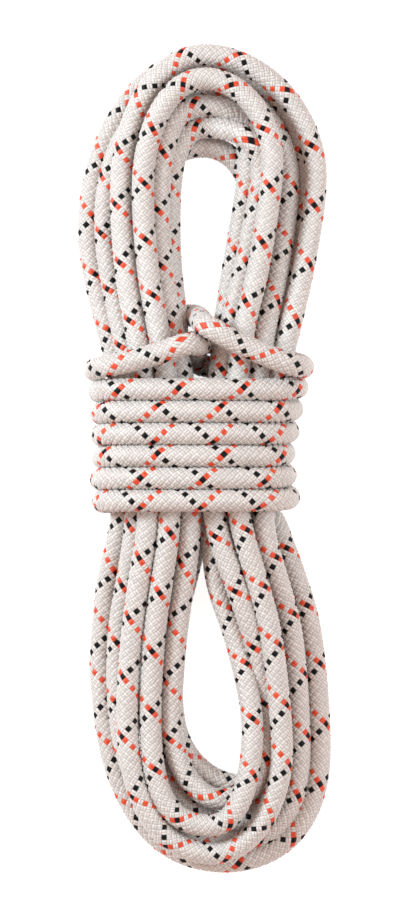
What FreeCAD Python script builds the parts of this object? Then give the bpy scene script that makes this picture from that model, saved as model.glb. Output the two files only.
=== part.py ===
import FreeCAD
import Part
import Sketcher

import math
import os

# A dynamic climbing rope, put away as a flat hank that lies on the floor.
# Loops of rope are drawn together at the waist by a row of wraps. The last stretch then comes
# up through the slot between the two bundles, crosses the front twice and goes back down.
# X runs across the hank, Y along it and Z up. The origin is on the floor under its middle.
# Sizes are in millimetres.

SIZES = [
    ("rope_diameter", 10.0, "outside diameter of the rope"),
    ("sheath_wall", 1.2, "thickness of the braided sheath"),
    ("core_clearance", 0.1, "between the sheath's bore and the core"),
    ("strand_gap", 0.55, "clear gap between strands that lie side by side"),
    ("loop_count", 7, "loops in the hank"),
    ("hank_length", 375.4, "over both ends of the hank"),
    ("wrap_count", 6, "turns round the waist"),
    ("wraps_middle", 6.5, "Y of the middle of the wraps"),
    ("waist_shift", -1.5, "X of the middle of the waist"),
    ("waist_slot", 4.4, "between the two bundles below the wraps"),
    ("collar_slot", 11.0, "between the two bundles at the top of the wraps"),
    ("collar_opening", 15.1, "between them where they start to fan out above the wraps"),
    ("lower_margin", 7.0, "from the lowest wrap to where the bundles start to fan out"),
    ("upper_margin", 24.0, "the same above the highest wrap"),
    ("strand_rise", 5.0, "how much higher every second strand of a layer lies"),
    ("tail_room", 0.9, "how much higher the strands pass over the rope's tail"),
    ("upper_left_eye", 11.0, "from the middle to the upper eye's left side"),
    ("upper_right_eye", 16.6, "from the middle to the upper eye's right side"),
    ("lower_left_eye", 12.0, "from the middle to the lower eye's left side"),
    ("lower_right_eye", 20.0, "from the middle to the lower eye's right side"),
    ("upper_left_bulge", 75.7, "from the hank's upper end to its widest place at the left"),
    ("upper_right_bulge", 56.7, "from the upper end to the widest place at the right"),
    ("lower_left_bulge", 61.7, "from the lower end to the widest place at the left"),
    ("lower_right_bulge", 57.7, "from the lower end to the widest place at the right"),
    ("floor_cut", 0.5, "depth of the flats on which the rope rests"),
    ("sleeve_length", 16.0, "shrunk sleeve at each end of the rope"),
    ("sleeve_wall", 0.22, "its thickness"),
    ("sleeve_clearance", 0.05, "between the sleeve and the rope"),
    ("sleeve_lip", 1.0, "how far the sleeve reaches over the melted tip"),
    ("seal_length", 2.5, "melted tip at each end of the rope"),
]

Vector = FreeCAD.Vector
LEFT, RIGHT = -1, 1
UP, DOWN = Vector(0, 1, 0), Vector(0, -1, 0)
STATIONS = 12  # in one loop, from the lower waist at the right
APEXES = (4, 10)  # the upper and the lower end of a loop
SHOULDER = math.radians(13)  # turned in the first arc from a bulge towards an end
UPPER_LEAN, LOWER_LEAN, CLIMB_LEAN = 0.88, 0.45, 0.2  # shares of a run's own slant
CLIMB_INSET = 2.5  # how much nearer the middle the strand passes that changes layer
WAIST_SPREAD, BULGE_SPREAD = 1.045, 1.05  # wider steps, because the runs there slant
LAYER_MARGIN = 0.3  # more than touching, between the two layers
END_SETBACK = 1.65  # how much shorter the deep layer is at each end
# How much further out the deep layer's innermost strand is at the bulges, in strand widths
DEEP_SHIFTS = {3: 0.43, 5: 0.4, 9: -0.15, 11: -0.4}
POINT_SPACING = 2.0  # along a tube, where its gaps are measured
STRAIGHT = 1e5  # a bend of a larger radius is drawn as a straight line

# The last stretch, from the back of the highest wrap to the hidden tail. Y is above that wrap.
LOCK_ROUTE = [
    (17, 4.3, 4.5),
    (4.5, 6.3, 4.5),
    (-1.8, 12, 12.5),
    (-1.8, 14.5, 30),
    (-1.8, 16, 42),
    (-12, 18, 51.4),
    (-24, 17, 48.2),
    (-38, 14.5, 47.2),
    (-51, 12.5, 41),
    (-53, 12, 27),
    (-52.5, 12.5, 4.5),
    (-28, 15, 4.5),
    (-1, 24, 4.5),
    (26, 17.5, 4.5),
    (48.5, 13, 4.5),
    (48.5, 13.3, 32),
    (43, 15, 46.4),
    (29, 20, 49.1),
    (14, 26, 49.8),
    (3.5, 30, 49.3),
    (-2.5, 32.5, 42.5),
    (-3, 33.5, 28),
    (-3, 34, 14.5),
    (-14, 31.5, 5.4),
    (-38, 27.5, 5.4),
]
BACK = Vector(-1, 0, 0)  # the way of the wraps behind the waist
WRAP_START = (20, -0.7)  # X, and Y above the lowest wrap in strand widths
WRAP_CLIMB = 0.057  # slope of a wrap that climbs
FRONT_BEND, BACK_BEND = 16.0, 20.0  # how far in from a side the wraps turn
# How far a wrap has climbed at its bends, in strand widths from its level run in front
BACK_LEFT, LEFT_SIDE, RIGHT_SIDE, BACK_RIGHT = -0.3, -0.2, 0.135, 0.33
BESIDE, BESIDE_LEAN = (1.8, -2.4), -0.05  # where the last loop nears the wraps, in diameters


def new_sheet(doc):
    """the spreadsheet with the driving sizes"""
    sheet = doc.addObject("Spreadsheet::Sheet", "sizes")
    for row, (name, value, note) in enumerate(SIZES, 1):
        sheet.set(f"A{row}", name)
        sheet.set(f"B{row}", str(value))
        sheet.setAlias(f"B{row}", name)
        sheet.set(f"C{row}", note)
    doc.recompute()
    return sheet


doc = FreeCAD.newDocument("climbing_rope")
sheet = new_sheet(doc)
size = {name: float(sheet.get(name)) for name, value, note in SIZES}

diameter = size["rope_diameter"]
loops, wraps = round(size["loop_count"]), round(size["wrap_count"])
pitch = diameter + size["strand_gap"]
layer = pitch + size["strand_rise"] + LAYER_MARGIN
waist_step = WAIST_SPREAD * math.sqrt(pitch**2 - size["strand_rise"] ** 2)
bulge_step = BULGE_SPREAD * pitch
turning = (loops - 0.5) / 2  # turns from the start to where the spiral reverses
wraps_low = size["wraps_middle"] - (wraps - 1) / 2 * pitch
wraps_high = size["wraps_middle"] + (wraps - 1) / 2 * pitch
lower_waist = wraps_low - size["lower_margin"] - diameter / 2
upper_waist = wraps_high + diameter / 2
collar = wraps_high + size["upper_margin"] + diameter / 2

resting = diameter / 2  # height of a strand that lies on the floor
wrap_back = resting - size["floor_cut"]
waist_bottom = wrap_back + pitch
wrap_front = waist_bottom + layer + size["strand_rise"] + pitch
wrap_start = Vector(WRAP_START[0], wraps_low + WRAP_START[1] * pitch, wrap_back)


def pass_of(station, turn):
    """the pass through the waist, in turns from the start, that a station belongs to"""
    if station == 11:
        return turn + 1.0
    return float(turn) if station <= 3 else turn + 0.5


def rise_of(passing):
    """how much higher than its neighbours a pass lies"""
    rank = math.floor(abs(passing - turning))
    return size["strand_rise"] if rank % 2 == 0 else 0.0


def side_places():
    """for each station at a side: its Y, then X of the innermost strand of the front and of
    the deep layer, and the step from strand to strand"""
    half = diameter / 2
    waist = (lower_waist, half + size["waist_slot"] / 2)
    neck = (upper_waist, half + size["collar_slot"] / 2)
    fan = (collar, half + size["collar_opening"] / 2)
    places = {0: waist, 1: neck, 2: fan, 6: fan, 7: neck, 8: waist}
    sides = {station: (y, x, x, waist_step) for station, (y, x) in places.items()}
    end = size["hank_length"] / 2
    for station, y, eye in (
        (3, end - size["upper_right_bulge"], size["upper_right_eye"]),
        (5, end - size["upper_left_bulge"], size["upper_left_eye"]),
        (9, size["lower_left_bulge"] - end, size["lower_left_eye"]),
        (11, size["lower_right_bulge"] - end, size["lower_right_eye"]),
    ):
        x = half + eye
        sides[station] = (y, x, x + DEEP_SHIFTS[station] * pitch, bulge_step)
    return sides


SIDES = side_places()
WAIST = (0, 1, 2, 6, 7, 8)
OVER_TAIL = (2, 6)


def place_of(station, turn):
    """where the rope's middle line is at one station of one turn"""
    turns = turn + station / STATIONS
    spiral = abs(turns - turning)
    outward = turns > turning
    in_front = turns < turning - 0.5 / STATIONS
    z = waist_bottom if station in WAIST else resting
    if in_front:
        z += layer
    if station in OVER_TAIL:
        z += size["tail_room"]
    if station in APEXES:
        before = pass_of(station - 1, turn)
        z += (rise_of(before) + rise_of(before + 0.5)) / 2
        outermost = loops - 1 + station / STATIONS - turning
        if in_front:
            outermost = turning - station / STATIONS
        y = (size["hank_length"] - diameter) / 2 - pitch * (outermost - spiral)
        if not in_front:
            y -= END_SETBACK
        return Vector(0, y if station == APEXES[0] else -y, z)
    passing = pass_of(station, turn)
    z += rise_of(passing)
    y, front, deep, step = SIDES[station]
    x = (deep if outward else front) + step * (spiral - abs(passing - turning) % 1.0)
    if not outward and not in_front:
        x -= CLIMB_INSET
    side = RIGHT if passing == math.floor(passing) else LEFT
    shift = size["waist_shift"] if station in WAIST else 0.0
    return Vector(side * x + shift, y, z)


def unit(vector):
    return vector * (1 / vector.Length)


def heading_of(places, index):
    """which way the rope runs at a station"""
    station, turn = index % STATIONS, index // STATIONS
    if station in APEXES:
        return Vector(-1 if station == APEXES[0] else 1, 0, 0)
    ahead = UP if station in (11, 0, 1, 2, 3) else DOWN
    towards = {0: index - 1, 2: index + 1, 6: index - 1, 8: index + 1}.get(station, -1)
    if station in (1, 7):
        rest = places[index + 1] - places[index - 1]
        return unit(Vector(rest.x, rest.y, 0))
    if towards < 0:
        return ahead
    share = UPPER_LEAN if station in (2, 6) else LOWER_LEAN
    if 0 < turning - turn - station / STATIONS < 1.5 / STATIONS:
        share = CLIMB_LEAN
    run = places[towards] - places[index]
    return unit(Vector(share * run.x / run.y * ahead.y, ahead.y, 0))


def straight_run(start, end):
    """a straight piece of a path, written like an arc whose corner is on it"""
    return start, (start + end) * 0.5, end


def biarc(start, heading, end, end_heading, first=None):
    """two arcs that meet smoothly, each as its start, its corner and its end"""
    chord = end - start
    if first is None:
        a = 2 * (heading.dot(end_heading) - 1)
        b = -2 * chord.dot(heading + end_heading)
        c = chord.dot(chord)
        first = -c / b
        if abs(a) > 1e-9:
            first = (-b - math.sqrt(b * b - 4 * a * c)) / (2 * a)
        second = first
    else:
        rest = 2 * chord.dot(end_heading) + 2 * first * (1 - heading.dot(end_heading))
        second = (chord.dot(chord) - 2 * first * chord.dot(heading)) / rest
    corner, end_corner = start + heading * first, end - end_heading * second
    middle = (corner * second + end_corner * first) * (1 / (first + second))
    return [(start, corner, middle), (middle, end_corner, end)]


def end_turn(start, heading, end, end_heading):
    """a quarter turn between a bulge and an end of the hank: two arcs, which turn by the same
    angles in every loop, so that the loops stay the same distance apart"""
    across, along = abs(end.x - start.x), abs(end.y - start.y)
    cos, sin = math.cos(SHOULDER), math.sin(SHOULDER)
    scale = cos * sin - (1 - cos) * (1 - sin)
    side_radius = (cos * along - (1 - sin) * across) / scale
    end_radius = (sin * across - (1 - cos) * along) / scale
    from_side = abs(heading.y) > abs(heading.x)
    first = end_radius * math.tan((math.pi / 2 - SHOULDER) / 2)
    if from_side:
        first = side_radius * math.tan(SHOULDER / 2)
    return biarc(start, heading, end, end_heading, first)


def hank_arcs():
    """the loops: a spiral in through the front layer and out again through the deep one"""
    count = loops * STATIONS
    places = [place_of(i % STATIONS, i // STATIONS) for i in range(count)]
    headings = [heading_of(places, i) for i in range(1, count - 1)]
    headings = [UP] + headings + [UP]
    # The rope's end lies straight, under the middle wraps.
    straight = size["sleeve_length"] + diameter
    place = Vector(places[1].x, places[1].y - straight, places[1].z)
    places[0], headings[1] = place, UP
    arcs = [straight_run(places[0], places[1])]
    for i in range(1, count - 1):
        turn = end_turn if i % STATIONS in (3, 4, 9, 10) else biarc
        arcs += turn(places[i], headings[i], places[i + 1], headings[i + 1])
    # From the last bulge the rope runs up beside the hank and turns in behind the waist.
    corner = wrap_start + Vector(diameter, 0, 0)
    beside = corner + Vector(BESIDE[0], BESIDE[1], 0) * diameter
    lean = unit(Vector(BESIDE_LEAN, 1, 0))
    arcs += biarc(places[-1], UP, beside, lean)
    arcs += biarc(beside, lean, corner, BACK)
    return arcs + [straight_run(corner, wrap_start)]


def outermost(side, y):
    """X of the outermost strand beside a wrap at this Y, and its height"""
    low, high = place_of(8, loops - 1), place_of(7, loops - 1)
    if side == RIGHT:
        low = high = place_of(1, 0)
    share = (y - lower_waist) / (upper_waist - lower_waist)
    return low.x + share * (high.x - low.x), high.z


def wrap_arcs():
    """the turns round the waist: level in front, and climbing steadily round the back"""
    level, back = Vector(1, 0, 0), unit(Vector(-1, WRAP_CLIMB, 0))
    up, down = unit(Vector(0, WRAP_CLIMB, 1)), unit(Vector(0, WRAP_CLIMB, -1))
    straight = wrap_start + BACK * diameter
    run = [(straight, BACK)]
    for i in range(wraps):
        y = wraps_low + i * pitch
        left, left_height = outermost(LEFT, y)
        right, right_height = outermost(RIGHT, y)
        left, right = left - pitch, right + pitch
        low_bend = left_height - wrap_back
        run += [
            (Vector(left + low_bend, y + BACK_LEFT * pitch, wrap_back), back),
            (Vector(left, y + LEFT_SIDE * pitch, left_height), up),
            (Vector(left + FRONT_BEND, y, wrap_front), level),
            (Vector(right - FRONT_BEND, y, wrap_front), level),
            (Vector(right, y + RIGHT_SIDE * pitch, right_height), down),
            (Vector(right - BACK_BEND, y + BACK_RIGHT * pitch, wrap_back), back),
        ]
    end = lock_points()[0]
    run[-1] = (Vector(run[-1][0].x, end.y, wrap_back), BACK)
    arcs = [straight_run(wrap_start, straight)]
    for (start, heading), (stop, stop_heading) in zip(run, run[1:]):
        arcs += biarc(start, heading, stop, stop_heading)
    return arcs + [straight_run(run[-1][0], end)]


def lock_points():
    return [Vector(x, wraps_high + y, z) for x, y, z in LOCK_ROUTE]


def lock_arcs():
    """straight runs joined by tangent arcs along the points of the last stretch"""
    points = lock_points()
    arcs, start = [], points[0]
    for before, point, after in zip(points, points[1:], points[2:]):
        arriving, leaving = unit(point - before), unit(after - point)
        shorter = min((point - before).Length, (after - point).Length)
        reach = 0.45 * shorter
        arc_start, arc_end = point - arriving * reach, point + leaving * reach
        arcs.append(straight_run(start, arc_start))
        arcs.append((arc_start, point, arc_end))
        start = arc_end
    return arcs + [straight_run(start, points[-1])]


def bend_radius(arc):
    start, corner, end = arc
    turn = (corner - start).getAngle(end - corner)
    return (corner - start).Length / math.tan(turn / 2) if turn > 1e-6 else math.inf


def path_of(arcs):
    """one wire along these arcs and straight runs"""
    edges = []
    for start, corner, end in arcs:
        if bend_radius((start, corner, end)) > STRAIGHT:
            edges.append(Part.LineSegment(start, end).toShape())
            continue
        middle = (start + end) * 0.5
        flat = (end - start).Length / (2 * (corner - start).Length)
        top = middle + (corner - middle) * (flat / (1 + flat))
        edges.append(Part.Arc(start, top, end).toShape())
    return Part.Wire(edges)


def rod(path, arcs, radius):
    """a solid rod along a path"""
    start, corner, end = arcs[0]
    ring = Part.Wire(Part.makeCircle(radius, start, corner - start))
    return path.makePipeShell([ring], True, False)


def above_floor(shape):
    """the shape with what reaches under the floor cut off flat"""
    depth = diameter
    reach = size["hank_length"]
    slab = Part.makeBox(2 * reach, 2 * reach, depth, Vector(-reach, -reach, -depth))
    return shape.cut(slab)


def rope_pieces(name, arcs):
    """the sheath and the core along one path"""
    path = path_of(arcs)
    bore = diameter / 2 - size["sheath_wall"]
    sheath = rod(path, arcs, diameter / 2).cut(rod(path, arcs, bore))
    core = rod(path, arcs, bore - size["core_clearance"])
    add_shape(name + "_sheath", above_floor(sheath))
    add_shape(name + "_core", core)
    section = math.pi * ((diameter / 2) ** 2 - bore**2)
    radii = [bend_radius(arc) for arc in arcs]
    print(f"{name}: {path.Length:.0f} mm of rope, least radius {min(radii):.1f} mm")
    expected = section * path.Length
    print(f"{name}: sheath volume {sheath.Volume:.0f}, section times length {expected:.0f}")
    return path


def add_shape(name, shape):
    """a sub-part whose shape is made from the sizes in this script"""
    piece = doc.addObject("Part::Feature", name)
    solids = shape.Solids
    piece.Shape = solids[0] if len(solids) == 1 else shape
    piece.Label = name
    piece.Placement = FreeCAD.Placement()
    parts.append(piece)


def end_placement(point, outward):
    """a place at a rope's end, its Z pointing out of the rope"""
    return FreeCAD.Placement(point, FreeCAD.Rotation(Vector(0, 0, 1), outward))


def add_sleeve(name, point, outward):
    """a shrunk sleeve round the rope's end and the rim of its melted tip"""
    body = doc.addObject("PartDesign::Body", name)
    sketch = body.newObject("Sketcher::SketchObject", name + "_section")
    planes = {plane.Role: plane for plane in body.Origin.OriginFeatures}
    sketch.AttachmentSupport = [(planes["XY_Plane"], "")]
    sketch.MapMode = "FlatFace"
    inside = "sizes.rope_diameter / 2 + sizes.sleeve_clearance"
    for label, formula in (("inner", inside), ("outer", inside + " + sizes.sleeve_wall")):
        circle = sketch.addGeometry(Part.Circle(Vector(), Vector(0, 0, 1), diameter / 2 + 1))
        sketch.addConstraint(Sketcher.Constraint("Coincident", circle, 3, -1, 1))
        number = sketch.addConstraint(Sketcher.Constraint("Radius", circle, diameter / 2 + 1))
        sketch.renameConstraint(number, label)
        sketch.setExpression("Constraints." + label, formula)
    pad = body.newObject("PartDesign::Pad", name + "_wall")
    pad.Profile = sketch
    pad.setExpression("Length", "sizes.sleeve_length")
    body.Label = name
    lip = size["sleeve_lip"] - size["sleeve_length"]
    body.Placement = end_placement(point + outward * lip, outward)
    parts.append(body)


def add_seal(name, point, outward):
    """the melted tip: a short disc with a domed end"""
    disc = doc.addObject("Part::Cylinder", name + "_disc")
    disc.setExpression("Radius", "sizes.rope_diameter / 2")
    disc.setExpression("Height", "sizes.seal_length")
    dome = doc.addObject("Part::Sphere", name + "_dome")
    dome.setExpression("Radius", "sizes.rope_diameter")
    dome.setExpression("Placement.Base.z", "sizes.seal_length - sizes.rope_diameter")
    tip = doc.addObject("Part::Common", name)
    tip.Base, tip.Tool = disc, dome
    tip.Label = name
    tip.Placement = end_placement(point, outward)
    parts.append(tip)


def least_gap(points, others=None):
    """clear gap between two runs of points, or of one run to the rest of itself"""
    cell = 2 * diameter
    boxes = {}
    for i, point in enumerate(points if others is None else others):
        key = tuple(math.floor(c / cell) for c in point)
        boxes.setdefault(key, []).append((i, point))
    apart = 3 * diameter / POINT_SPACING  # points of one bend aren't neighbours
    least = cell
    steps = (-1, 0, 1)
    for i, point in enumerate(points):
        a, b, c = (math.floor(value / cell) for value in point)
        near = [(a + x, b + y, c + z) for x in steps for y in steps for z in steps]
        for key in near:
            for j, other in boxes.get(key, ()):
                if others is not None or j - i > apart:
                    least = min(least, point.distanceToPoint(other))
    return least - diameter


parts = []
runs = {"hank": hank_arcs(), "wrap": wrap_arcs(), "lock": lock_arcs()}
samples = {}
for name, arcs in runs.items():
    path = rope_pieces(name, arcs)
    samples[name] = path.discretize(Distance=POINT_SPACING)
    print(f"{name}: least gap to itself {least_gap(samples[name]):.2f} mm")

for name, arc, outward in (
    ("start_end", runs["hank"][0], -1),
    ("tail_end", runs["lock"][-1], 1),
):
    start, corner, end = arc
    point = start if outward < 0 else end
    direction = unit(end - start) * outward
    add_sleeve(name + "_sleeve", point, direction)
    add_seal(name + "_seal", point, direction)

trim = round(2 * diameter / POINT_SPACING)  # where two runs meet they touch
for one, other in (("hank", "wrap"), ("hank", "lock"), ("wrap", "lock")):
    gap = least_gap(samples[one][:-trim], samples[other][trim:])
    print(f"least gap from the {one} to the {other}: {gap:.2f} mm")

doc.recompute()
for thing in doc.Objects:
    if "Invalid" in thing.State or "Error" in thing.State:
        raise RuntimeError(f"{thing.Label} failed: {thing.State}")
for piece in parts:
    if piece.Shape.isNull() or not piece.Shape.isValid():
        raise RuntimeError(f"{piece.Label} has no valid shape")

os.makedirs("parts", exist_ok=True)
for piece in parts:
    piece.Shape.exportStep(os.path.join("parts", piece.Label + ".step"))
    print(f"{piece.Label}: {piece.Shape.Volume / 1000:.2f} cm3, {len(piece.Shape.Solids)} solid")
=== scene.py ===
import math
from collections import namedtuple

import bpy
import numpy as np
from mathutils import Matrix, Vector


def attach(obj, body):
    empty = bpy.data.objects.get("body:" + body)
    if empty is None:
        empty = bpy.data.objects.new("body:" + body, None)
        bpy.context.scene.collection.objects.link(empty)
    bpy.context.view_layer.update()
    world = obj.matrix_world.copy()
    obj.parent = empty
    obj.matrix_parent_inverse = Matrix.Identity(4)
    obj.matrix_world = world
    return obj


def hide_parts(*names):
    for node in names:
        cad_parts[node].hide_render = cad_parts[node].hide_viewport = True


# A dynamic climbing rope, put away as a flat hank that lies on the floor, seen from above.
# The whole rope follows one NURBS spline: seven loops, six wraps and the lock.
# Its braid is a mesh of crossing ribbons, two yarns wide, laid round that spline.
# Sizes are in millimetres here, and become metres where a shape is made.

MM = 0.001
DIAMETER = 10.0

# Across the photograph a rope's diameter is 22 pixels, so a pixel is 0.4545 mm.
PHOTO_WIDTH, PHOTO_HEIGHT = 420, 923
VIEW_CENTRE = (2.7, -1.1)
VIEW_HEIGHT = 419.5  # what the picture's height shows, measured at the level of MIDDLE_Z
MIDDLE_Z = 20.0
LENS, SENSOR = 200.0, 36.0
VIEW_DISTANCE = VIEW_HEIGHT * LENS / SENSOR  # from the camera down to MIDDLE_Z

# Name, place in metres, diameter in metres and power in watts
LAMPS = (
    ("key", (-1.6, 0.75, 1.3), 0.8, 36),
    ("fill", (1.3, 0.2, 1.4), 1.2, 15),
)
LAMP_COLOUR = (0.82, 1, 1.08)
SKY = (0.54, 0.34, 0.27)  # the warm light from all round; the camera sees white there
WHITE = (1, 1, 1)
FLOOR_REACH = 3.0  # metres from its middle to an edge
FLOOR_GREY, FLOOR_ROUGHNESS = 0.9, 0.9
FLOOR_GLOW = 0.85  # as a share of white, added to the floor's lit colour where it's seen

# Name, colour, colour of the painted shade in the seams beside a yarn and at its ends, and gloss
YARNS = (
    ("white_yarn", (0.9, 0.885, 0.86), (0.58, 0.51, 0.46), 0.6),
    ("orange_yarn", (0.97, 0.1, 0.03), (0.7, 0.05, 0.015), 0.4),
    ("black_yarn", (0.005, 0.005, 0.006), (0.002, 0.002, 0.002), 0.12),
)
# How a yarn looks on one of its visible lengths, in shares of its width or of that length
SEAM_SHADE_WIDTH = 0.35  # painted shade in a seam, from a side inwards, until it has its full colour
END_SHADE_WIDTH, END_SHADE = 0.15, 0.3  # painted shade from an end inwards, and how much of its colour is left there under that shade
FIBRE_SLANT, FIBRE_FINENESS, FIBRE_SCALE = 2.5, 7, 1.5  # fibres lean, and are long and thin
NOISE_RANGE = (0.3, 0.7)  # what a noise mostly reaches, from its darkest place to its lightest
YARN_TONES, FIBRE_TONES = (0.9, 1.04), (0.9, 1.05)
YARN_ROUGHNESS = (0.3, 0.42)
FIBRE_RELIEF, YARN_BUMP, YARN_BUMP_DEPTH = 0.35, 0.45, 0.0002  # the depth is in metres
# The other materials: name, lightest and darkest colour, range of roughness, size of a spot
PLASTICS = (
    ("core_yarn", (0.9, 0.89, 0.86), (0.8, 0.79, 0.76), (0.5, 0.6), 1.5),
    ("shrink_sleeve", (0.02, 0.02, 0.022), (0.012, 0.012, 0.013), (0.35, 0.5), 3),
    ("melted_nylon", (0.6, 0.5, 0.38), (0.32, 0.22, 0.14), (0.2, 0.4), 1.5),
)
SPOT_RANGE = (0.35, 0.65)  # of the noise, narrower, so that the spots have plainer edges
PLASTIC_BUMP, PLASTIC_BUMP_DEPTH = 0.4, 0.0003

# Y of the places along a side where its strands are given, from the lower end up
SIDE_Y = (-80, -56, -32, -10, 14, 38, 62, 86)
WAIST_Y = 14  # the one of them where the loops are parted into pieces
# X and Z of each strand there. A strand's number is its turn, and a half turn later it
# comes down the left side.
RIGHT_STRANDS = {
    0: (
        None, None, None, None,
        (28.6, 26.8), (33.7, 26.3), (39.7, 25), (45.5, 20),
    ),
    1: (
        (31, 27), (24.3, 30.5), (17, 34), (13, 35.8),
        (11.2, 36.3), (15.3, 36), (18.3, 34), (25, 29.5),
    ),
    2: (
        (14.2, 18.5), (5, 20.5), (3.5, 21.5), (3, 21),
        (4, 21.8), (6.8, 21.5), (9.4, 18), (12.8, 13.8),
    ),
    3: (
        (22.6, 24.5), (14, 30), (5.4, 32), (3, 32.2),
        (2.6, 32.7), (7.5, 31.5), (12.3, 27.5), (18.2, 21.5),
    ),
    4: (
        (18, 6), (14.5, 12), (12.5, 17), (12.5, 16),
        (13, 16.5), (16.5, 15.5), (18, 10.5), (19, 5),
    ),
    5: (
        (29.5, 6), (26, 11.5), (23, 19), (16.8, 25.3),
        (20, 32.5), (24.5, 31), (28, 26.5), (34, 17),
    ),
    6: (
        (40.8, 15), (33.9, 21.5), (26.3, 28.5), (27.5, 25.5),
        (22.8, 19.5), (25, 20), (32, 15.5), (43, 8),
    ),
}
LEFT_STRANDS = {
    0: (
        (-33, 24), (-29.5, 28), (-25.3, 32.6), (-25, 32.8),
        (-25.3, 32.8), (-26.8, 32.4), (-31.7, 29), (-36, 24),
    ),
    1: (
        (-22.8, 25.5), (-19.2, 30), (-15.6, 34.2), (-15.3, 34.8),
        (-16, 35), (-16.8, 34.8), (-21.4, 33), (-25.8, 28),
    ),
    2: (
        (-12.8, 20.5), (-9.1, 25), (-6, 29), (-6.2, 29.5),
        (-7.2, 29.8), (-9.5, 28.8), (-15.2, 27), (-19, 20),
    ),
    3: (
        (-14.8, 6), (-8.2, 10.5), (-2.5, 14), (-6.5, 17.5),
        (-13, 18.8), (-12.5, 19), (-11.9, 18), (-15.2, 9),
    ),
    4: (
        (-27, 7), (-24, 14), (-21.5, 18.8), (-22, 19),
        (-22.8, 19), (-24, 19), (-25.5, 16), (-28, 9),
    ),
    5: (
        (-39.5, 12), (-35.3, 18), (-31, 24.3), (-31, 25),
        (-31.3, 25), (-33.3, 24.3), (-38, 18.5), (-43.5, 12),
    ),
    6: (
        (-46.9, 5.5), (-44.5, 9.5), (-38.2, 16), (-36.2, 17),
        (-36.4, 17), (-38.6, 16.5), (-45, 12.5), (-51.2, 6),
    ),
}
# The upper end of each turn: its widest place at the right, its top and its widest at the left,
# then Z at the right, the right shoulder, the top, the left shoulder and the left. The last
# pair says how full its right and left are: 2 for an ellipse, more for a squarer shoulder.
UPPER_ENDS = (
    ((51.2, 127), (0, 184), (-37.7, 122.3), (16, 16.5, 17, 19.5, 19), (1.94, 2)),
    ((31.2, 132.3), (0, 172.6), (-27.8, 122.3), (28.6, 26.5, 24, 28, 25), (2, 2)),
    ((20.3, 131), (-1, 160.8), (-20.4, 112), (14, 11.5, 15.5, 21.5, 19), (2.75, 2.5)),
    ((26.5, 128), (0, 151), (-15.6, 110), (20, 24, 12, 14.8, 8.8), (2.4, 2.5)),
    ((20.8, 117), (-1, 142.9), (-30, 106), (5, 5, 5, 5, 5), (2.15, 2)),
    ((38.5, 126), (0, 170), (-45, 110), (11, 9, 9, 9.5, 10.5), (2.03, 2.1)),
    ((46.3, 124), (-4, 182.3), (-52.7, 108), (5, 5, 5.5, 5, 5), (2.1, 1.85)),
)
# The lower end of each turn, from the left round the bottom to the right
LOWER_ENDS = (
    ((-34.8, -118), (4, -179.5), (35.6, -130), (20.5, 18.5, 15.5, 18, 21), (2.2, 2)),
    ((-24.3, -118), (3, -166.3), (22.2, -116), (20.5, 20.5, 21, 23.5, 22), (2.6, 2.3)),
    ((-15, -118), (8, -155), (29.5, -112), (15.5, 14, 12.5, 14, 14.5), (2, 2.6)),
    ((-14.3, -112), (17, -149), (22.5, -126), (5, 5, 5, 5, 5), (2, 2)),
    ((-26, -112), (12, -166.8), (33.5, -128), (5, 5, 5, 5, 5), (1.9, 2)),
    ((-38.8, -110), (9, -175), (43.6, -130), (12, 10.5, 5.5, 7.5, 9.5), (2, 2.6)),
    ((-46.8, -96), (8, -184), (53, -132), (5, 5, 5, 5, 5), (2.2, 2.3)),
)
# X, Y and Z of the last strand, which comes up outside the others and turns in behind the waist
RUN_IN = ((49.9, -80, 5.5), (42.8, -56, 7.5), (36.5, -39, 7), (31, -24, 5.2), (20, -24.6, 4.6))
LOOPS = 7
END_STEPS = 4  # control points in a quarter of an end, after the first

WRAPS = 6
WRAP_PITCH = 10.0
LOWEST_WRAP = -18.6  # its Y in front
WRAPS_START = (26, -0.6)  # X behind the waist, and Y from the lowest wrap, in pitches
WRAP_LEFT = (-46, -46.8, -46, -46.4, -46.8, -47.5)  # X of each wrap's side at the left
WRAP_RIGHT = (38.6, 37, 36.5, 38.3, 40, 42.3)
BACK_Z = 4.5
# A wrap's control points: X from the left or the right side, Z, and how far it has climbed,
# in pitches
LEFT_SIDE = (
    (14, 4.5, -0.15), (4.5, 5.3, -0.13), (0.3, 12, -0.1),
    (-0.3, 22, -0.06), (1, 32, -0.03), (6.5, 39.5, 0), (16, 43.6, 0),
)
RIGHT_SIDE = (
    (-17, 43.2, 0), (-7, 38.5, 0), (-1.2, 31, 0.05), (0.3, 21, 0.12),
    (-0.3, 12, 0.2), (-4.5, 5.3, 0.27), (-14, 4.5, 0.33),
)
# Shares of the way from side to side, and Z, for its middle in front; the same shares behind
BETWEEN = ((0.34, 46), (0.68, 46.4))

# The last stretch: up through the slot between the bundles, over the left one, round behind
# both and over the right one, down through the slot, and behind the left one to its tail
LOCK = (
    (17, 38.5, 4.5), (5, 41.8, 4.5), (-4, 43.3, 5), (-5, 47, 11), (-2.8, 50.5, 22),
    (-1.5, 51.8, 38), (-8, 52, 50.5), (-17, 48.5, 47.8), (-28, 45.3, 46.6), (-40, 42.6, 44.5),
    (-48.3, 41, 37), (-50, 40.5, 26), (-49.5, 40.5, 12), (-45, 42.5, 5), (-28, 48.4, 4.5),
    (-2, 55.4, 4.5),
    (24, 47.8, 4.5), (38, 45, 5), (43.8, 43.2, 12), (44.9, 41.8, 25), (44.5, 41.2, 37),
    (38.9, 42.5, 44.5), (30.2, 45.6, 47), (21.4, 49.5, 48.4), (12.7, 53.2, 49.8),
    (4.6, 58, 50.6), (0, 60.6, 46.8), (-1, 61.8, 35), (-2, 64, 21), (-5, 66, 9),
    (-15, 64.6, 5.4), (-26, 62.6, 5.4), (-38, 60.4, 5.4),
)

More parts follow.
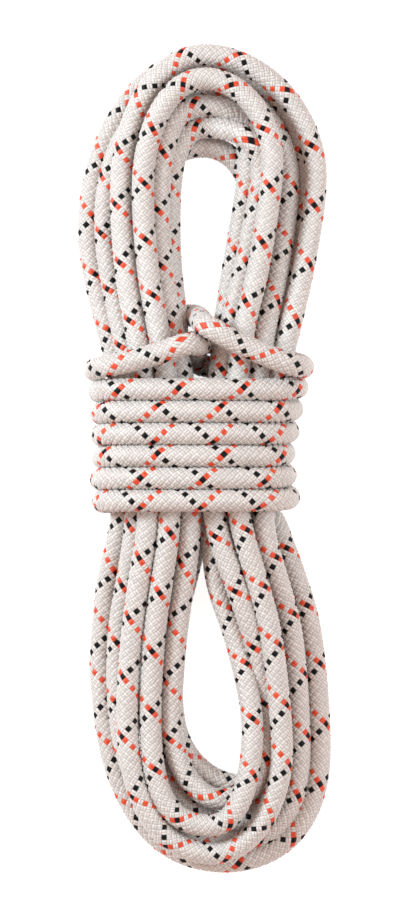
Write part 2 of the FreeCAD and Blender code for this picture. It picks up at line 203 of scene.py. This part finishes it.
# The braid: eight ribbons wind one way and eight the other, each over one and under one.
# Each ribbon is two yarns side by side.
CARRIERS = 8
LAY = 26.8  # along the rope for one turn of a ribbon
QUADS = 4  # along each side of the diamond where two ribbons cross
ORANGE, BLACK = 2, 4  # the coloured ribbons
AROUND = 2 * CARRIERS * QUADS  # places round the rope, of which a row has every second one
ROW = LAY / AROUND  # along the rope from one row to the next
TOP_RADIUS = 5.2  # of a yarn's crest
RELIEF = 0.7  # from the crests down to the bottoms of the grooves
ACROSS_RIBBON = (0.0, 1.0, 0.5, 1.0)  # height over its width: two yarns side by side
ALONG_RIBBON = (0.0, 0.82, 1.0, 0.82)  # height from one edge of a crossing to the next
BAKE_STRIPS = 5  # the map for baking lays a piece out in strips, so that it is about square
STRIP_MARGIN = 0.02  # of a strip's width, at each of its sides
STRIPS_HEIGHT = 0.96  # the rest of that map is for the caps at a piece's ends
CAP_MARGIN = 0.005  # between the caps and the strips, and above the caps
# Where the black ribbon crosses the orange one, in pixels of the photograph: for each loop up
# its right side, round its upper end, down its left side and round its lower end, then for the
# wraps from left to right, and for the lock
CROSSINGS = (
    ((311, 266), (314, 206), (311, 146), (288, 90), (240, 53), (180, 51), (135, 91), (117, 148),
     (114, 205), (119, 264), (139, 556), (128, 616), (122, 676), (121, 736), (131, 797), (165, 847),
     (226, 861), (277, 826), (291, 765), (288, 704), (281, 644), (266, 585), (248, 529)),
    ((244, 302), (262, 243), (269, 187), (262, 129), (232, 86), (182, 86), (153, 129), (145, 184),
     (146, 241), (154, 297), (171, 532), (160, 591), (152, 650), (152, 710), (156, 769), (177, 820),
     (231, 826), (256, 776), (253, 719), (248, 664), (234, 609)),
    ((237, 253), (250, 198), (192, 102), (163, 152), (157, 210), (160, 267), (179, 560), (167, 619),
     (163, 678), (168, 737), (185, 793), (267, 758), (264, 702), (252, 645), (234, 590),
     (214, 536)),
    ((248, 265), (168, 183), (168, 239), (173, 295)),
    (),
    ((279, 304), (294, 247), (297, 188), (289, 128), (100, 175), (100, 234), (107, 291), (128, 524),
     (122, 583), (117, 641), (116, 702), (299, 795), (309, 735), (306, 673), (295, 612),
     (277, 555)),
    ((95, 218), (96, 276), (117, 571), (112, 630), (113, 690), (239, 863), (294, 840), (320, 784),
     (327, 723), (321, 663), (307, 604), (287, 548)),
    ((141, 509), (200, 509), (257, 509), (142, 478), (203, 480), (261, 482), (110, 452), (159, 453),
     (223, 454), (275, 457), (154, 443), (213, 443), (266, 443), (159, 404), (221, 405), (275, 407),
     (122, 391), (179, 388), (242, 387), (291, 391)),
    ((167, 364), (247, 361)),
)
HIGHER_SHOWS = 0.2  # how much a strand's height counts against its distance from a mark
MARK_REACH = 0.98  # of the rope's radius, the furthest out that a mark is taken to be
EVEN_LAY = 0.04  # a change of lay that is as unlikely as a turn of the rope by one radian
TIP_ROWS = 8  # rows of the line beyond each end of the braid, where the melted tips are

CORE_RADIUS = 3.8
CORE_GROOVE = 0.2  # half the depth of the grooves between its strands
CORE_STRANDS = 8
CORE_TWIST = 40.0  # along the rope for one turn of a core strand
CORE_ROWS = 6  # rows of the braid from one ring of the core to the next
RING_POINTS = 24  # in a ring round a core, a sleeve or a melted tip
SLEEVE_PROFILE = (  # distance from its outer end, and radius
    (0, 4.6), (0.1, 5.15), (0.4, 5.32), (2, 5.3), (5, 5.34), (8, 5.3), (11, 5.34), (14, 5.3),
    (15.5, 5.3), (15.9, 5.15), (16, 4.6),
)
SEAL_PROFILE = ((1.5, 4.7), (0, 4.75), (-0.8, 4.6), (-1.5, 4.0), (-2.0, 2.9), (-2.3, 1.4))


def end_points(first, middle, last, heights, fullness):
    """control points round one end, from its widest place at one side to the other's"""
    step = math.pi / 2 / END_STEPS
    swell = 4 / (3 + math.cos(step))  # the spline passes a little inside its control points
    points = []
    for i in range(2 * END_STEPS + 1):
        side, turned, full = first, i, fullness[0]
        if i >= END_STEPS:
            side, turned, full = last, 2 * END_STEPS - i, fullness[1]
        across = swell * abs(math.cos(turned * step)) ** (2 / full)
        along = swell * math.sin(turned * step) ** (2 / full)
        x = middle[0] + (side[0] - middle[0]) * across
        y = side[1] + (middle[1] - side[1]) * along
        if i == END_STEPS:
            x, y = middle[0], middle[1] + (swell - 1) * (middle[1] - (first[1] + last[1]) / 2)
        z = float(np.interp(i * step, np.linspace(0, math.pi, len(heights)), heights))
        points.append((x, y, z))
    return points


def side_points(strand):
    """control points along one side, from the lower end up"""
    return [(xz[0], y, xz[1]) for y, xz in zip(SIDE_Y, strand) if xz]


def loop_points():
    """control points of the loops, in along the front layer and out along the deep one"""
    points = []
    for turn in range(LOOPS):
        points += side_points(RIGHT_STRANDS[turn])
        points += end_points(*UPPER_ENDS[turn])
        points += side_points(LEFT_STRANDS[turn])[::-1]
        points += end_points(*LOWER_ENDS[turn])
    return points + list(RUN_IN)


def wrap_points():
    """control points of the turns round the waist, in front from left to right"""
    points = []
    last = (WRAPS_START[0], LOWEST_WRAP + WRAPS_START[1] * WRAP_PITCH, BACK_Z)
    for i in range(WRAPS):
        y, left, right = LOWEST_WRAP + i * WRAP_PITCH, WRAP_LEFT[i], WRAP_RIGHT[i]
        up = [(left + x, y + climb * WRAP_PITCH, z) for x, z, climb in LEFT_SIDE]
        down = [(right + x, y + climb * WRAP_PITCH, z) for x, z, climb in RIGHT_SIDE]
        for share, _ in BETWEEN:
            x, back_y = (last[k] + share * (up[0][k] - last[k]) for k in range(2))
            points.append((x, back_y, BACK_Z))
        points += up
        for share, z in BETWEEN:
            points.append((up[-1][0] + share * (down[0][0] - up[-1][0]), y, z))
        points += down
        last = down[-1]
    return points


# Row by row: the rope's middle, two directions across it, and how far the braid has turned
Rope = namedtuple("Rope", "centres normals binormals turned")


def spline_line(points):
    """points read from the NURBS spline that has these control points, in millimetres"""
    curve = bpy.data.curves.new("route", "CURVE")
    curve.dimensions = "3D"
    spline = curve.splines.new("NURBS")
    spline.points.add(len(points) - 1)
    for place, point in zip(spline.points, points):
        place.co = (*(value * MM for value in point), 1)
    spline.order_u = 3
    spline.use_endpoint_u = True
    spline.resolution_u = 16
    route = bpy.data.objects.new("route", curve)
    bpy.context.scene.collection.objects.link(route)
    bpy.context.view_layer.update()
    shown = route.evaluated_get(bpy.context.evaluated_depsgraph_get())
    mesh = bpy.data.meshes.new_from_object(shown)
    line = np.array([vertex.co for vertex in mesh.vertices], float) / MM
    bpy.data.objects.remove(route)
    bpy.data.curves.remove(curve)
    bpy.data.meshes.remove(mesh)
    return line


def rope_along(line, places, turned):
    """the rope's middle at these places along its line, with two directions across it there"""
    lengths = np.concatenate([[0], np.cumsum(np.linalg.norm(np.diff(line, axis=0), axis=1))])
    centres = np.stack([np.interp(places, lengths, line[:, k]) for k in range(3)], axis=1)
    tangents = np.gradient(centres, axis=0)
    tangents /= np.linalg.norm(tangents, axis=1, keepdims=True)
    normals = np.zeros_like(centres)
    normal = np.array((0.0, 0.0, 1.0))
    for i, tangent in enumerate(tangents):
        normal = normal - tangent * normal.dot(tangent)
        normal /= math.sqrt(normal.dot(normal))
        normals[i] = normal
    return Rope(centres, normals, np.cross(tangents, normals), turned)


def even_rope(line):
    """the rope with its rows the same distance apart"""
    length = np.linalg.norm(np.diff(line, axis=0), axis=1).sum()
    places = np.arange(0, length, ROW)
    return rope_along(line, places, np.zeros(len(places)))


def rows_at(rope, control, numbers):
    """the rows nearest to where the spline passes these control points"""
    rows = []
    for number in numbers:
        place = np.dot((1, 6, 1), control[number - 1:number + 2]) / 8
        rows.append(int(np.argmin(np.linalg.norm(rope.centres - place, axis=1))))
    return rows


def seen_crossings(rope, stretches):
    """the row of each crossing in the photograph, and its angle round the rope there"""
    middle = np.array(VIEW_CENTRE)
    found = []
    for (first, last), marks in zip(stretches, CROSSINGS):
        points = rope.centres[first:last]
        nearness = VIEW_DISTANCE / (VIEW_DISTANCE + MIDDLE_Z - points[:, 2:])
        seen = middle + (points[:, :2] - middle) * nearness
        for across, down in marks:
            pixels = np.array((across - PHOTO_WIDTH / 2, PHOTO_HEIGHT / 2 - down))
            mark = middle + pixels * VIEW_HEIGHT / PHOTO_HEIGHT
            away = np.linalg.norm(seen - mark, axis=1)
            # Of two strands one above the other, the higher one shows.
            i = int(np.argmin(away - HIGHER_SHOWS * points[:, 2]))
            side = (mark - seen[i]) / (DIAMETER / 2)
            side *= min(1, MARK_REACH / max(np.linalg.norm(side), 1e-6))
            out = np.array((*side, math.sqrt(1 - side.dot(side))))
            row = first + i
            angle = math.atan2(out.dot(rope.binormals[row]), out.dot(rope.normals[row]))
            found.append((row, angle))
    return found


def fitted_rope(line, rope, crossings):
    """the rope with its lay and turn such that its ribbons cross where they should"""
    # The two ribbons cross first at this row and place, and then, half a lay further on each
    # time, by turns on opposite sides of the rope.
    half = AROUND // 2
    first_row = QUADS * (ORANGE - BLACK) % half
    first_place = QUADS * (ORANGE + BLACK + 1) + (first_row - QUADS * (ORANGE - BLACK))
    rows, places, turned = [0], [0], [0.0]
    for place, angle in crossings:
        # The mark is taken for the crossing that needs the least uneven lay and turn.
        nearest = round((place - places[-1] + rows[-1] - first_row) / half)
        choices = []
        for number in (nearest - 1, nearest, nearest + 1):
            row = first_row + number * half
            if row <= rows[-1]:
                continue
            turn = angle - (first_place * 2 / AROUND + number) * math.pi - turned[-1]
            turn = (turn + math.pi) % (2 * math.pi) - math.pi
            uneven = (place - places[-1]) / (row - rows[-1]) - 1
            cost = (uneven / EVEN_LAY) ** 2 + (turn if len(rows) > 1 else 0) ** 2
            choices.append((cost, row, turn))
        _, row, turn = min(choices)
        rows.append(row)
        places.append(place)
        turned.append(turned[-1] + turn)
    turned[0] = turned[1]
    last_row = rows[-1] + len(rope.centres) - 1 - places[-1]
    every = np.arange(last_row + 1)
    places = np.interp(every, rows + [last_row], places + [len(rope.centres) - 1])
    return rope_along(line, places * ROW, np.interp(every, rows, turned))


def ring_points(rope, rows, angles, radius):
    """points round the rope at these rows, pressed flat where they would go into the floor"""
    angles = angles + rope.turned[rows][:, None]
    out = np.cos(angles)[..., None] * rope.normals[rows][:, None]
    out = out + np.sin(angles)[..., None] * rope.binormals[rows][:, None]
    points = rope.centres[rows][:, None] + radius[..., None] * out
    points[..., 2] = np.maximum(points[..., 2], 0)
    return points.reshape(-1, 3)


def new_piece(name, points, quads, caps, materials):
    """an object with these faces, which are rows of vertex numbers"""
    faces = [face.tolist() for face in quads] + [face.tolist() for face in caps]
    mesh = bpy.data.meshes.new(name)
    mesh.from_pydata((points * MM).tolist(), [], faces)
    mesh.polygons.foreach_set("use_smooth", np.ones(len(faces), bool))
    for material in materials:
        mesh.materials.append(material)
    piece = bpy.data.objects.new(name, mesh)
    bpy.context.scene.collection.objects.link(piece)
    return piece


def cap_faces(near_rim, far_rim, middle):
    """triangles that close a piece's ends, where its two last vertices are their middles"""
    near = np.stack([np.full_like(near_rim, middle), np.roll(near_rim, -1), near_rim], axis=-1)
    far = np.stack([np.full_like(far_rim, middle + 1), far_rim, np.roll(far_rim, -1)], axis=-1)
    return np.concatenate([near, far])


def add_map(mesh, name, quad_places, cap_places):
    """a UV map from the place of each corner, face by face"""
    places = np.concatenate([quad_places.reshape(-1, 2), cap_places.reshape(-1, 2)])
    mesh.uv_layers.new(name=name).data.foreach_set("uv", places.reshape(-1).astype(np.float32))


def add_bake_map(mesh, along, around, rows, cap_sides):
    """lays the rope's skin out in strips side by side, with its two caps above them"""
    strip_rows = math.ceil(rows / BAKE_STRIPS)
    strip = along.min(axis=1, keepdims=True) // strip_rows
    u = (strip + STRIP_MARGIN + (1 - 2 * STRIP_MARGIN) * around) / BAKE_STRIPS
    v = (along - strip * strip_rows + 1) / (strip_rows + 3) * STRIPS_HEIGHT
    side = np.arange(2 * cap_sides)[:, None] / (2 * cap_sides)
    cap_u = side + np.array((0.5, 0.9, 0.1)) / (2 * cap_sides)
    rim_v = STRIPS_HEIGHT + CAP_MARGIN
    cap_v = np.tile((1 - CAP_MARGIN, rim_v, rim_v), (2 * cap_sides, 1))
    add_map(mesh, "OFBake", np.stack([u, v], axis=-1), np.stack([cap_u, cap_v], axis=-1))


def braid_height(p, q):
    """relief of the braid, from 0 to 1, at a crossing of its lattice"""
    on_top = (p // QUADS + q // QUADS) % 2 == 0
    across, along = np.where(on_top, q, p) % QUADS, np.where(on_top, p, q) % QUADS
    height = np.take(ACROSS_RIBBON, across) * np.take(ALONG_RIBBON, along)
    return np.where((p % QUADS == 0) | (q % QUADS == 0), 0, height)


def braid_piece(name, rope, first, last, yarns):
    """the rope's sheath from one row to another, with a slot for each colour of yarn"""
    half = AROUND // 2
    rows = np.arange(first, last + 2)
    row, k = np.meshgrid(rows, np.arange(half), indexing="ij")
    place = 2 * k + row % 2
    height = braid_height((place + row) // 2, (place - row) // 2)
    angles = place * (2 * math.pi / AROUND)
    skin = ring_points(rope, rows, angles, TOP_RADIUS - RELIEF * (1 - height))
    points = np.concatenate([skin, rope.centres[[first, last + 1]]])

    # A face is a diamond: it takes a place of this row, two of the rows beside it, and the next.
    row, k = np.meshgrid(np.arange(1, len(rows) - 1), np.arange(half), indexing="ij")
    odd = (row + first) % 2
    beside, slant = (k + 1) % half, (k + odd) % half
    here, before, after = row * half, (row - 1) * half, (row + 1) * half
    corners = (here + k, before + slant, here + beside, after + slant)
    quads = np.stack(corners, axis=-1).reshape(-1, 4)
    every = np.arange(AROUND)
    near_rim = np.where(every % 2 == first % 2, 0, half) + every // 2
    last_row = (len(rows) - 1) * half
    far_rim = np.where(every % 2 == (last + 1) % 2, last_row, last_row - half) + every // 2
    caps = cap_faces(near_rim, far_rim, len(skin))
    piece = new_piece(name, points, quads, caps, yarns)

    place, row = (2 * k + odd).reshape(-1, 1), (row + first).reshape(-1, 1)
    p, q = (place + row) // 2, (place - row) // 2
    on_top = (p // QUADS + q // QUADS) % 2 == 0
    black = on_top & (q // QUADS % CARRIERS == BLACK)
    orange = ~on_top & (p // QUADS % CARRIERS == ORANGE)
    colours = np.where(black, 2, np.where(orange, 1, 0)).reshape(-1)
    colours = np.concatenate([colours, np.zeros(len(caps), int)]).astype(np.int32)
    piece.data.polygons.foreach_set("material_index", colours)

    p, q = p + np.array((0, 0, 1, 1)), q + np.array((0, 1, 1, 0))
    along, across = np.where(on_top, p, q) / QUADS, np.where(on_top, q, p) * 2 / QUADS
    add_map(piece.data, "Yarn", np.stack([along, across], axis=-1), np.zeros((len(caps), 3, 2)))
    around = (place + np.array((0, 1, 2, 1))) / (AROUND + 1)
    add_bake_map(piece.data, row - first + np.array((0, -1, 0, 1)), around, len(rows), AROUND)
    return piece


def ringed_piece(name, rope, rows, radius, material):
    """a closed form of rings round the rope, at these rows and with these radii"""
    angles = np.arange(RING_POINTS) * (2 * math.pi / RING_POINTS)
    radius = np.asarray(radius)
    if radius.ndim == 1:
        radius = np.tile(radius[:, None], (1, RING_POINTS))
    skin = ring_points(rope, rows, np.tile(angles, (len(rows), 1)), radius)
    points = np.concatenate([skin, rope.centres[[rows[0], rows[-1]]]])
    ring, k = np.meshgrid(np.arange(len(rows) - 1), np.arange(RING_POINTS), indexing="ij")
    beside = (k + 1) % RING_POINTS
    here, above = ring * RING_POINTS, (ring + 1) * RING_POINTS
    quads = np.stack([here + k, here + beside, above + beside, above + k], axis=-1).reshape(-1, 4)
    rim = np.arange(RING_POINTS)
    caps = cap_faces(rim, rim + (len(rows) - 1) * RING_POINTS, len(skin))
    piece = new_piece(name, points, quads, caps, [material])
    along = ring.reshape(-1, 1) + np.array((0, 0, 1, 1))
    around = (k.reshape(-1, 1) + np.array((0, 1, 1, 0))) / RING_POINTS
    add_bake_map(piece.data, along, around, len(rows), RING_POINTS)
    return piece


def core_piece(name, rope, first, last, material):
    """the bundle of twisted strands inside the sheath"""
    rows = np.arange(first, last, CORE_ROWS)
    angles = np.arange(RING_POINTS) * (2 * math.pi / RING_POINTS)
    twist = rows[:, None] * ROW * (2 * math.pi / CORE_TWIST)
    radius = CORE_RADIUS + CORE_GROOVE * np.cos(CORE_STRANDS * (angles - twist))
    return ringed_piece(name, rope, rows, radius, material)


def end_piece(name, rope, profile, at_start, material):
    """a sleeve or a melted tip at one end of the rope"""
    offsets = np.array([round(along / ROW) for along, _ in profile])
    radius = np.array([radius for _, radius in profile])
    rows = TIP_ROWS + offsets if at_start else len(rope.centres) - 1 - TIP_ROWS - offsets
    order = np.argsort(rows)
    return ringed_piece(name, rope, rows[order], radius[order], material)


def add_node(tree, kind, inputs, **settings):
    """a shader node with its settings, and its inputs linked or set"""
    node = tree.nodes.new("ShaderNode" + kind)
    for key, value in settings.items():
        setattr(node, key, value)
    for key, value in inputs.items():
        if isinstance(value, bpy.types.NodeSocket):
            tree.links.new(value, node.inputs[key])
        else:
            node.inputs[key].default_value = value
    return node.outputs[0]


def calculate(tree, operation, *values):
    """the result of a sum on numbers or on other nodes' outputs"""
    return add_node(tree, "Math", dict(enumerate(values)), operation=operation)


def remap(tree, value, low, high, new_low, new_high):
    """a value eased from one range to another"""
    inputs = {0: value, 1: low, 2: high, 3: new_low, 4: new_high}
    return add_node(tree, "MapRange", inputs, interpolation_type="SMOOTHSTEP")


def mixed_colour(tree, share, first, second):
    """a colour between two others: the first where the share is 0, the second where it's 1"""
    node = add_node(tree, "Mix", {0: share}, data_type="RGBA").node
    node.inputs[6].default_value, node.inputs[7].default_value = (*first, 1), (*second, 1)
    return node.outputs[2]


def new_material(name):
    """a material, its nodes and its main shader"""
    material = bpy.data.materials.new(name)
    material.use_nodes = True
    return material, material.node_tree, material.node_tree.nodes["Principled BSDF"]


def yarn_material(name, colour, seam_shade, gloss):
    """shining filament yarn: round, with fine slanted fibres, and with painted shade in the seams
    beside it and at its ends
    """
    material, tree, shader = new_material(name)
    place = add_node(tree, "UVMap", {}, uv_map="Yarn")
    split = add_node(tree, "SeparateXYZ", {0: place}).node
    along, across = split.outputs[0], split.outputs[1]
    crown = calculate(tree, "PINGPONG", across, 0.5)
    middle = calculate(tree, "PINGPONG", along, 0.5)
    # Painted shade at the ends of a yarn's visible length, where it dives under the crossing ribbon
    end_shading = remap(tree, middle, 0, END_SHADE_WIDTH, END_SHADE, 1)
    # Painted shade: towards its sides, where the seams between yarns lie, the yarn goes over to the
    # darker seam colour
    lit = calculate(tree, "MULTIPLY", remap(tree, crown, 0, SEAM_SHADE_WIDTH, 0, 1), end_shading)
    slant = calculate(tree, "MULTIPLY_ADD", along, FIBRE_SLANT, across)
    fine = calculate(tree, "MULTIPLY", across, FIBRE_FINENESS)
    streak = add_node(tree, "CombineXYZ", {0: slant, 1: fine})
    fibres = add_node(tree, "TexNoise", {"Vector": streak, "Scale": FIBRE_SCALE, "Detail": 3})
    whole = add_node(tree, "VectorMath", {0: place}, operation="FLOOR")
    chance = add_node(tree, "TexWhiteNoise", {"Vector": whole}, noise_dimensions="2D")
    yarn_tone = remap(tree, chance, 0, 1, *YARN_TONES)
    tone = calculate(tree, "MULTIPLY", yarn_tone, remap(tree, fibres, *NOISE_RANGE, *FIBRE_TONES))
    mixed = mixed_colour(tree, lit, seam_shade, colour)
    shade = add_node(tree, "VectorMath", {0: mixed, "Scale": tone}, operation="SCALE")
    tree.links.new(shade, shader.inputs["Base Color"])
    rough = remap(tree, fibres, *NOISE_RANGE, *YARN_ROUGHNESS)
    tree.links.new(rough, shader.inputs["Roughness"])
    rounded = remap(tree, crown, 0, 0.5, 0, 1)
    height = calculate(tree, "MULTIPLY_ADD", fibres, FIBRE_RELIEF, rounded)
    bump = {"Height": height, "Strength": YARN_BUMP, "Distance": YARN_BUMP_DEPTH}
    tree.links.new(add_node(tree, "Bump", bump), shader.inputs["Normal"])
    shader.inputs["Specular IOR Level"].default_value = gloss
    return material


def moulded_material(name, light, dark, roughness, size):
    """shrunk or melted plastic, a little uneven in colour and surface"""
    material, tree, shader = new_material(name)
    place = add_node(tree, "TexCoord", {}).node.outputs["Object"]
    uneven = add_node(tree, "TexNoise", {"Vector": place, "Scale": 1 / (size * MM), "Detail": 4})
    mixed = mixed_colour(tree, remap(tree, uneven, *SPOT_RANGE, 0, 1), dark, light)
    tree.links.new(mixed, shader.inputs["Base Color"])
    tree.links.new(remap(tree, uneven, *NOISE_RANGE, *roughness), shader.inputs["Roughness"])
    bump = {"Height": uneven, "Strength": PLASTIC_BUMP, "Distance": PLASTIC_BUMP_DEPTH}
    tree.links.new(add_node(tree, "Bump", bump), shader.inputs["Normal"])
    return material


def background_rays(tree):
    """1 for a ray that shows the background: the camera's own, or one in gloss or through glass"""
    rays = add_node(tree, "LightPath", {}).node.outputs
    seen = calculate(tree, "MAXIMUM", rays["Is Camera Ray"], rays["Is Glossy Ray"])
    return calculate(tree, "MAXIMUM", seen, rays["Is Transmission Ray"])


def camera_and_light():
    """the photograph's camera, two lamps, and a world that the camera sees as white"""
    camera = bpy.data.cameras.new("camera")
    camera.lens, camera.sensor_width = LENS, SENSOR
    camera.clip_end = 20
    view = bpy.data.objects.new("camera", camera)
    view.location = (VIEW_CENTRE[0] * MM, VIEW_CENTRE[1] * MM, (MIDDLE_Z + VIEW_DISTANCE) * MM)
    bpy.context.scene.collection.objects.link(view)
    bpy.context.scene.camera = view
    for name, place, size, power in LAMPS:
        lamp = bpy.data.lights.new(name, "AREA")
        lamp.shape, lamp.size, lamp.energy = "DISK", size, power
        lamp.color = LAMP_COLOUR
        light = bpy.data.objects.new(name, lamp)
        light.location = place
        light.rotation_euler = (-Vector(place)).to_track_quat("-Z", "Y").to_euler()
        bpy.context.scene.collection.objects.link(light)
    world = bpy.context.scene.world or bpy.data.worlds.new("world")
    bpy.context.scene.world = world
    world.use_nodes = True
    tree = world.node_tree
    background = tree.nodes["Background"]
    colour = mixed_colour(tree, background_rays(tree), SKY, WHITE)
    tree.links.new(colour, background.inputs["Color"])
    background.inputs["Strength"].default_value = 1


def floor():
    """a white floor that keeps the object's shadow, and shows as white in reflections too"""
    mesh = bpy.data.meshes.new("floor")
    quarters = ((-1, -1), (1, -1), (1, 1), (-1, 1))
    corners = [(x * FLOOR_REACH, y * FLOOR_REACH, 0) for x, y in quarters]
    mesh.from_pydata(corners, [], [(0, 1, 2, 3)])
    plane = bpy.data.objects.new("floor", mesh)
    bpy.context.scene.collection.objects.link(plane)
    material, tree, shader = new_material("floor_white")
    shader.inputs["Base Color"].default_value = (FLOOR_GREY, FLOOR_GREY, FLOOR_GREY, 1)
    shader.inputs["Roughness"].default_value = FLOOR_ROUGHNESS
    seen = background_rays(tree)
    glow = add_node(tree, "Emission", {"Strength": calculate(tree, "MULTIPLY", seen, FLOOR_GLOW)})
    total = add_node(tree, "AddShader", {0: shader.outputs["BSDF"], 1: glow})
    tree.links.new(total, tree.nodes["Material Output"].inputs["Surface"])
    plane.data.materials.append(material)


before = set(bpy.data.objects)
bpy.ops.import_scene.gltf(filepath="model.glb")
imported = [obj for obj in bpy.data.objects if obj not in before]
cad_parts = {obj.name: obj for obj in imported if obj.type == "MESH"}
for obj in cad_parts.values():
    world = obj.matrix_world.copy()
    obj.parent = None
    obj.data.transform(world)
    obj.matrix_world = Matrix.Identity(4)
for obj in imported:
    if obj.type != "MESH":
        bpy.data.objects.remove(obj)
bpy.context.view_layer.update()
bpy.context.scene.view_settings.view_transform = "Standard"
camera_and_light()
floor()

yarns = [yarn_material(*row) for row in YARNS]
core_yarn, sleeve_plastic, melted = (moulded_material(*row) for row in PLASTICS)

loops, wraps = loop_points(), wrap_points()
control = loops + wraps + list(LOCK)
# Pieces meet under the wraps and behind the waist, where their ends can't be seen.
at_waist = [i for i, point in enumerate(loops) if point[1] == WAIST_Y and point[0] > 0]
wraps_start, lock_start = len(loops), len(loops) + len(wraps)
wraps_middle = wraps_start + WRAPS // 2 * len(wraps) // WRAPS

line = spline_line(control)
even = even_rope(line)
starts = rows_at(even, control, (*at_waist[1:], wraps_start, lock_start))
limits = [0, *starts, len(even.centres)]
rope = fitted_rope(line, even, seen_crossings(even, zip(limits, limits[1:])))

last_row = len(rope.centres) - 2 - TIP_ROWS
joins = rows_at(rope, control, (*at_waist[1:], wraps_start, wraps_middle, lock_start))
cuts = [TIP_ROWS, *joins, last_row]
names = [f"loop_{i + 1}" for i in range(LOOPS)] + ["lower_wraps", "upper_wraps", "lock_stretch"]
nodes = ["hank_sheath"] * LOOPS + ["wrap_sheath"] * 2 + ["lock_sheath"]
for end, at_start in (("start", True), ("tail", False)):
    sleeve = end_piece(f"{end}_sleeve", rope, SLEEVE_PROFILE, at_start, sleeve_plastic)
    seal = end_piece(f"{end}_seal", rope, SEAL_PROFILE, at_start, melted)
    for piece, slot in ((sleeve, "shrink_sleeve"), (seal, "melted_nylon")):
        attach(piece, "root")
    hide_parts(f"{end}_end_sleeve")
    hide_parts(f"{end}_end_seal")
for name, node, first, last in (
    ("loops_core", "hank_core", cuts[0], cuts[LOOPS]),
    ("wraps_core", "wrap_core", cuts[LOOPS], cuts[LOOPS + 2]),
    ("lock_strands", "lock_core", cuts[LOOPS + 2], last_row),
):
    core = core_piece(name, rope, first, last, core_yarn)
    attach(core, "root")
    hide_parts(node)
for name, node, first, last in zip(names, nodes, cuts, cuts[1:]):
    piece = braid_piece(name, rope, first, last, yarns)
    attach(piece, "root")
    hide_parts(node)
